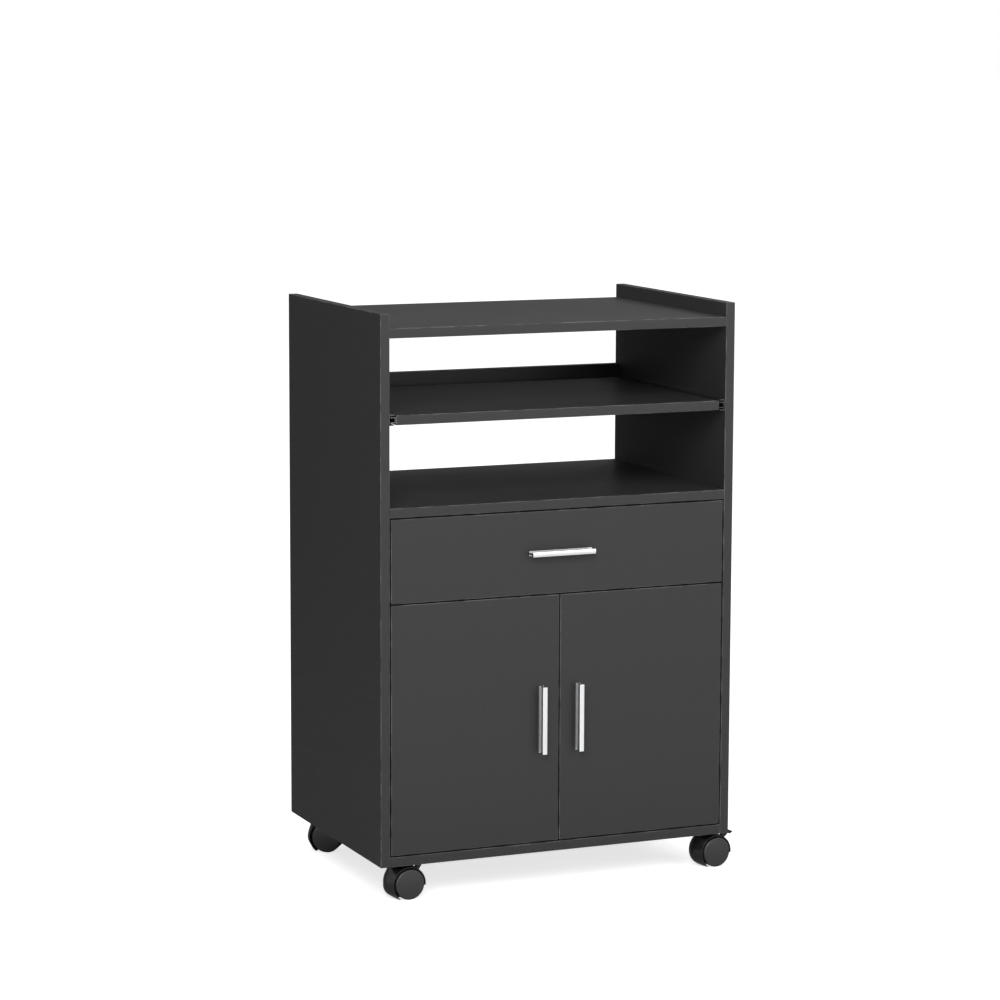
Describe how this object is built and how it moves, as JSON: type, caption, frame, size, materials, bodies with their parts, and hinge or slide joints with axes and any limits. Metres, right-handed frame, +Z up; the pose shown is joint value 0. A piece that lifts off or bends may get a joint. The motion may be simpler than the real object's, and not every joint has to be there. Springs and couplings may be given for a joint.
{
  "type": "microwave cart",
  "caption": "Cabinet on casters with tray top, open compartment with a pull-out shelf on slides, a drawer and a cupboard with hinged doors.",
  "frame": {"origin": "on the floor at the centre of the whole footprint: halfway between the left side panel's outer face and the tip of the right brake pedal, and halfway between the handles' front faces and the boards' rear edges", "axes": "+Z up, +X to the right and +Y to the back, as seen from in front of the doors"},
  "size_m": [0.613, 0.417, 0.9],
  "materials": {
    "board": "melamine-faced chipboard, anthracite, fine satin texture",
    "hardboard": "thin lacquered hardboard, near black",
    "black_steel": "black coated sheet steel, satin",
    "zinc_steel": "bright zinc-plated steel",
    "aluminium": "satin anodised aluminium, extruded bar",
    "nickel_steel": "nickel-plated steel",
    "nylon": "black moulded nylon, satin",
    "wheel_nylon": "dark grey moulded nylon, satin"
  },
  "bodies": {
    "carcass": {"side_panel_left": "board", "side_panel_right": "board", "top_shelf": "board", "middle_shelf": "board", "bottom_panel": "board", "rear_rail": "board", "back_panel": "hardboard", "shelf_outer_rail_left": "black_steel", "shelf_outer_rail_right": "black_steel", "drawer_outer_rail_left": "black_steel", "drawer_outer_rail_right": "black_steel", "hinge_arm_lower_left": "nickel_steel", "hinge_arm_upper_left": "nickel_steel", "hinge_arm_lower_right": "nickel_steel", "hinge_arm_upper_right": "nickel_steel", "caster_plate_front_left": "black_steel", "caster_plate_front_right": "black_steel", "caster_plate_rear_left": "black_steel", "caster_plate_rear_right": "black_steel"},
    "pullout_shelf": {"pullout_shelf": "board", "shelf_inner_rail_left": "black_steel", "shelf_inner_rail_right": "black_steel"},
    "drawer": {"drawer_front": "board", "drawer_side_left": "board", "drawer_side_right": "board", "drawer_back": "board", "drawer_bottom": "hardboard", "drawer_handle": "aluminium", "drawer_inner_rail_left": "black_steel", "drawer_inner_rail_right": "black_steel"},
    "shelf_cage_left": {"shelf_ball_cage_left": "zinc_steel"},
    "shelf_cage_right": {"shelf_ball_cage_right": "zinc_steel"},
    "drawer_cage_left": {"drawer_ball_cage_left": "zinc_steel"},
    "drawer_cage_right": {"drawer_ball_cage_right": "zinc_steel"},
    "door_left": {"door_left": "board", "door_handle_left": "aluminium", "hinge_cup_lower_left": "nickel_steel", "hinge_cup_upper_left": "nickel_steel"},
    "hinge_link_lower_left": {"hinge_link_lower_left": "nickel_steel"},
    "hinge_link_upper_left": {"hinge_link_upper_left": "nickel_steel"},
    "door_right": {"door_right": "board", "door_handle_right": "aluminium", "hinge_cup_lower_right": "nickel_steel", "hinge_cup_upper_right": "nickel_steel"},
    "hinge_link_lower_right": {"hinge_link_lower_right": "nickel_steel"},
    "hinge_link_upper_right": {"hinge_link_upper_right": "nickel_steel"},
    "caster_front_left": {"caster_hood_front_left": "nylon"},
    "caster_wheel_front_front_left": {"caster_wheel_front_front_left": "wheel_nylon"},
    "caster_wheel_rear_front_left": {"caster_wheel_rear_front_left": "wheel_nylon"},
    "brake_pedal_front_left": {"brake_pedal_front_left": "nylon"},
    "caster_front_right": {"caster_hood_front_right": "nylon"},
    "caster_wheel_front_front_right": {"caster_wheel_front_front_right": "wheel_nylon"},
    "caster_wheel_rear_front_right": {"caster_wheel_rear_front_right": "wheel_nylon"},
    "brake_pedal_front_right": {"brake_pedal_front_right": "nylon"},
    "caster_rear_left": {"caster_hood_rear_left": "nylon"},
    "caster_wheel_front_rear_left": {"caster_wheel_front_rear_left": "wheel_nylon"},
    "caster_wheel_rear_rear_left": {"caster_wheel_rear_rear_left": "wheel_nylon"},
    "caster_rear_right": {"caster_hood_rear_right": "nylon"},
    "caster_wheel_front_rear_right": {"caster_wheel_front_rear_right": "wheel_nylon"},
    "caster_wheel_rear_rear_right": {"caster_wheel_rear_rear_right": "wheel_nylon"}
  },
  "joints": [
    {"name": "pullout_shelf_slide", "type": "slide", "parent": "carcass", "child": "pullout_shelf", "axis": [0, -1, 0], "range_m": [0, 0.24]},
    {"name": "shelf_cage_slide_left", "type": "slide", "parent": "carcass", "child": "shelf_cage_left", "axis": [0, -1, 0], "range_m": [0, 0.12]},
    {"name": "shelf_cage_slide_right", "type": "slide", "parent": "carcass", "child": "shelf_cage_right", "axis": [0, -1, 0], "range_m": [0, 0.12]},
    {"name": "drawer_slide", "type": "slide", "parent": "carcass", "child": "drawer", "axis": [0, -1, 0], "range_m": [0, 0.24]},
    {"name": "drawer_cage_slide_left", "type": "slide", "parent": "carcass", "child": "drawer_cage_left", "axis": [0, -1, 0], "range_m": [0, 0.12]},
    {"name": "drawer_cage_slide_right", "type": "slide", "parent": "carcass", "child": "drawer_cage_right", "axis": [0, -1, 0], "range_m": [0, 0.12]},
    {"name": "door_swing_left", "type": "hinge", "parent": "carcass", "child": "door_left", "pos_m": [-0.29152, -0.1915, 0.26775], "axis": [0, 0, -1], "range_deg": [0, 95]},
    {"name": "hinge_link_turn_lower_left", "type": "hinge", "parent": "carcass", "child": "hinge_link_lower_left", "pos_m": [-0.26952, -0.1715, 0.145], "axis": [0, 0, -1], "range_deg": [0, 95]},
    {"name": "hinge_link_turn_upper_left", "type": "hinge", "parent": "carcass", "child": "hinge_link_upper_left", "pos_m": [-0.26952, -0.1715, 0.3905], "axis": [0, 0, -1], "range_deg": [0, 95]},
    {"name": "door_swing_right", "type": "hinge", "parent": "carcass", "child": "door_right", "pos_m": [0.26848, -0.1915, 0.26775], "axis": [0, 0, 1], "range_deg": [0, 95]},
    {"name": "hinge_link_turn_lower_right", "type": "hinge", "parent": "carcass", "child": "hinge_link_lower_right", "pos_m": [0.24648, -0.1715, 0.145], "axis": [0, 0, 1], "range_deg": [0, 95]},
    {"name": "hinge_link_turn_upper_right", "type": "hinge", "parent": "carcass", "child": "hinge_link_upper_right", "pos_m": [0.24648, -0.1715, 0.3905], "axis": [0, 0, 1], "range_deg": [0, 95]},
    {"name": "caster_swivel_front_left", "type": "hinge", "parent": "carcass", "child": "caster_front_left", "pos_m": [-0.27352, -0.1585, 0.04], "axis": [0, 0, 1], "continuous": true},
    {"name": "wheel_spin_front_front_left", "type": "hinge", "parent": "caster_front_left", "child": "caster_wheel_front_front_left", "pos_m": [-0.25285, -0.17069, 0.024], "axis": [-0.0523, 0.9986, 0], "continuous": true},
    {"name": "wheel_spin_rear_front_left", "type": "hinge", "parent": "caster_front_left", "child": "caster_wheel_rear_front_left", "pos_m": [-0.25424, -0.14422, 0.024], "axis": [-0.0523, 0.9986, 0], "continuous": true},
    {"name": "brake_pedal_press_front_left", "type": "hinge", "parent": "caster_front_left", "child": "brake_pedal_front_left", "pos_m": [-0.23738, -0.15661, 0.03963], "axis": [-0.0523, 0.9986, 0], "range_deg": [0, 14]},
    {"name": "caster_swivel_front_right", "type": "hinge", "parent": "carcass", "child": "caster_front_right", "pos_m": [0.25048, -0.1585, 0.04], "axis": [0, 0, 1], "continuous": true},
    {"name": "wheel_spin_front_front_right", "type": "hinge", "parent": "caster_front_right", "child": "caster_wheel_front_front_right", "pos_m": [0.27176, -0.16959, 0.024], "axis": [-0.1045, 0.9945, 0], "continuous": true},
    {"name": "wheel_spin_rear_front_right", "type": "hinge", "parent": "caster_front_right", "child": "caster_wheel_rear_front_right", "pos_m": [0.26899, -0.14323, 0.024], "axis": [-0.1045, 0.9945, 0], "continuous": true},
    {"name": "brake_pedal_press_front_right", "type": "hinge", "parent": "caster_front_right", "child": "brake_pedal_front_right", "pos_m": [0.28647, -0.15472, 0.03963], "axis": [-0.1045, 0.9945, 0], "range_deg": [-14, 0]},
    {"name": "caster_swivel_rear_left", "type": "hinge", "parent": "carcass", "child": "caster_rear_left", "pos_m": [-0.27352, 0.1755, 0.04], "axis": [0, 0, 1], "continuous": true},
    {"name": "wheel_spin_front_rear_left", "type": "hinge", "parent": "caster_rear_left", "child": "caster_wheel_front_rear_left", "pos_m": [-0.26513, 0.15302, 0.024], "axis": [0.5878, 0.809, 0], "continuous": true},
    {"name": "wheel_spin_rear_rear_left", "type": "hinge", "parent": "caster_rear_left", "child": "caster_wheel_rear_rear_left", "pos_m": [-0.24955, 0.17446, 0.024], "axis": [0.5878, 0.809, 0], "continuous": true},
    {"name": "caster_swivel_rear_right", "type": "hinge", "parent": "carcass", "child": "caster_rear_right", "pos_m": [0.25048, 0.1755, 0.04], "axis": [0, 0, 1], "continuous": true},
    {"name": "wheel_spin_front_rear_right", "type": "hinge", "parent": "caster_rear_right", "child": "caster_wheel_front_rear_right", "pos_m": [0.26729, 0.15838, 0.024], "axis": [0.2079, 0.9781, 0], "continuous": true},
    {"name": "wheel_spin_rear_rear_right", "type": "hinge", "parent": "caster_rear_right", "child": "caster_wheel_rear_rear_right", "pos_m": [0.2728, 0.1843, 0.024], "axis": [0.2079, 0.9781, 0], "continuous": true}
  ],
  "couplings": [
    {"joint": "shelf_cage_slide_left", "follows": "pullout_shelf_slide", "ratio": 0.5},
    {"joint": "shelf_cage_slide_right", "follows": "pullout_shelf_slide", "ratio": 0.5},
    {"joint": "drawer_cage_slide_left", "follows": "drawer_slide", "ratio": 0.5},
    {"joint": "drawer_cage_slide_right", "follows": "drawer_slide", "ratio": 0.5},
    {"joint": "hinge_link_turn_lower_left", "follows": "door_swing_left", "ratio": 1},
    {"joint": "hinge_link_turn_upper_left", "follows": "door_swing_left", "ratio": 1},
    {"joint": "hinge_link_turn_lower_right", "follows": "door_swing_right", "ratio": 1},
    {"joint": "hinge_link_turn_upper_right", "follows": "door_swing_right", "ratio": 1}
  ]
}
